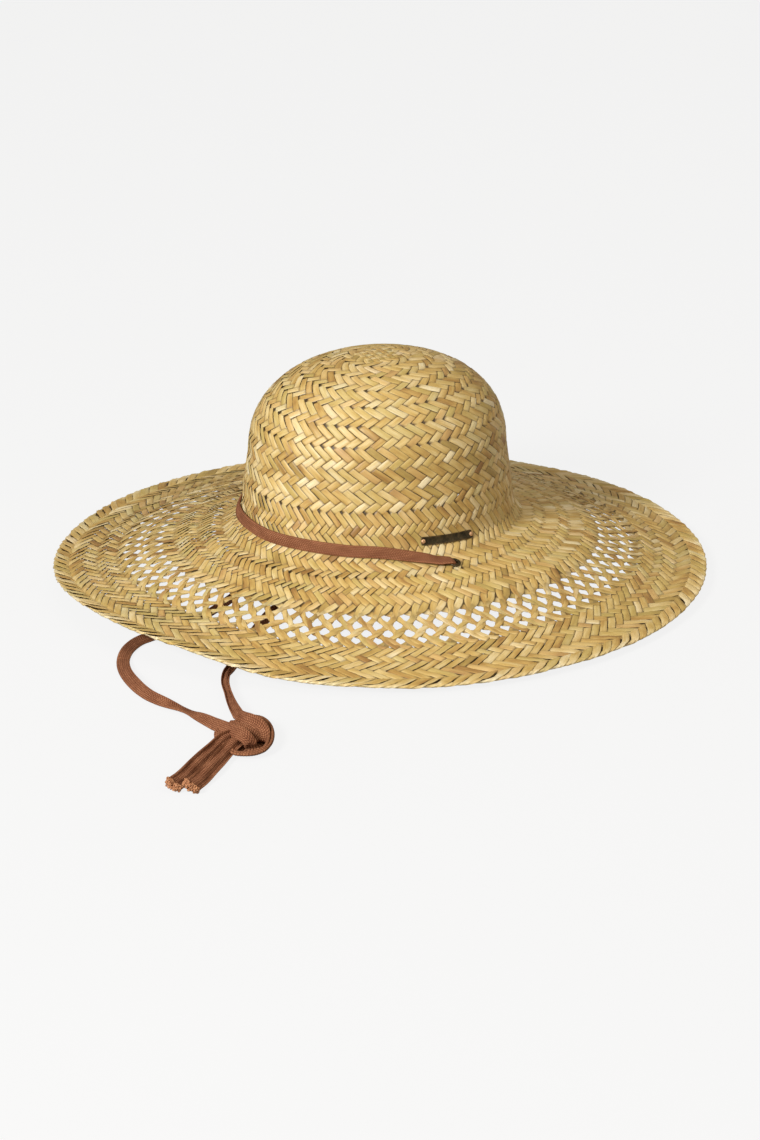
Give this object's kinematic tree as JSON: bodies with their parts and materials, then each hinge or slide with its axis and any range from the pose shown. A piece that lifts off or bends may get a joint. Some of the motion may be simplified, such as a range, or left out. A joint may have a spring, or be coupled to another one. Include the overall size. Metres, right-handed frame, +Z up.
{
  "type": "straw sun hat",
  "caption": "Wide-brimmed sun hat of woven straw with an open-work ring, a flat chin cord through eyelets at the crown, a sweatband and a blank metal plate.",
  "frame": {"origin": "middle of the small flat inside the top of the crown, where a hat stand bears; the brim rests 162 mm below it", "axes": "+Z up through the crown, -Y towards the hat's front, +X towards the wearer's left, where the plate is"},
  "size_m": [0.5094, 0.5473, 0.1652],
  "materials": {
    "straw": "natural rush straw, satin along the grain, woven in a herringbone",
    "cord": "matt flat-woven russet brown cord",
    "aged_bronze": "dark aged bronze, rubbed brighter at edges",
    "sweatband_cotton": "matt ribbed cotton tape",
    "thread": "matt sewing thread"
  },
  "bodies": {
    "hat": {"crown_tip": "straw", "crown_side": "straw", "brim_inner": "straw", "brim_openwork": "straw", "brim_outer": "straw", "brim_edge": "straw", "sweatband": "sweatband_cotton", "sweatband_stitching": "thread", "eyelet_left": "aged_bronze", "eyelet_right": "aged_bronze", "eyelet_washer_left": "aged_bronze", "eyelet_washer_right": "aged_bronze", "nameplate": "aged_bronze", "nameplate_rivet_front": "aged_bronze", "nameplate_rivet_rear": "aged_bronze", "rivet_washer_front": "aged_bronze", "rivet_washer_rear": "aged_bronze", "cord_band": "cord"},
    "chin_loop": {"chin_strand_left": "cord", "chin_strand_right": "cord", "chin_knot": "cord"},
    "tail_a": {"cord_tail_a": "cord"},
    "tail_b": {"cord_tail_b": "cord"}
  },
  "joints": [
    {"name": "chin_strap_swing", "type": "hinge", "parent": "hat", "child": "chin_loop", "pos_m": [0, 0.00068, -0.1285], "axis": [1, 0, 0], "range_deg": [0, 120]},
    {"name": "tail_a_swing", "type": "hinge", "parent": "chin_loop", "child": "tail_a", "pos_m": [0.2227, -0.2456, -0.16104], "axis": [0, 0, 1], "range_deg": [-30, 0]},
    {"name": "tail_b_swing", "type": "hinge", "parent": "chin_loop", "child": "tail_b", "pos_m": [0.2315, -0.239, -0.16104], "axis": [0, 0, 1], "range_deg": [0, 30]}
  ]
}
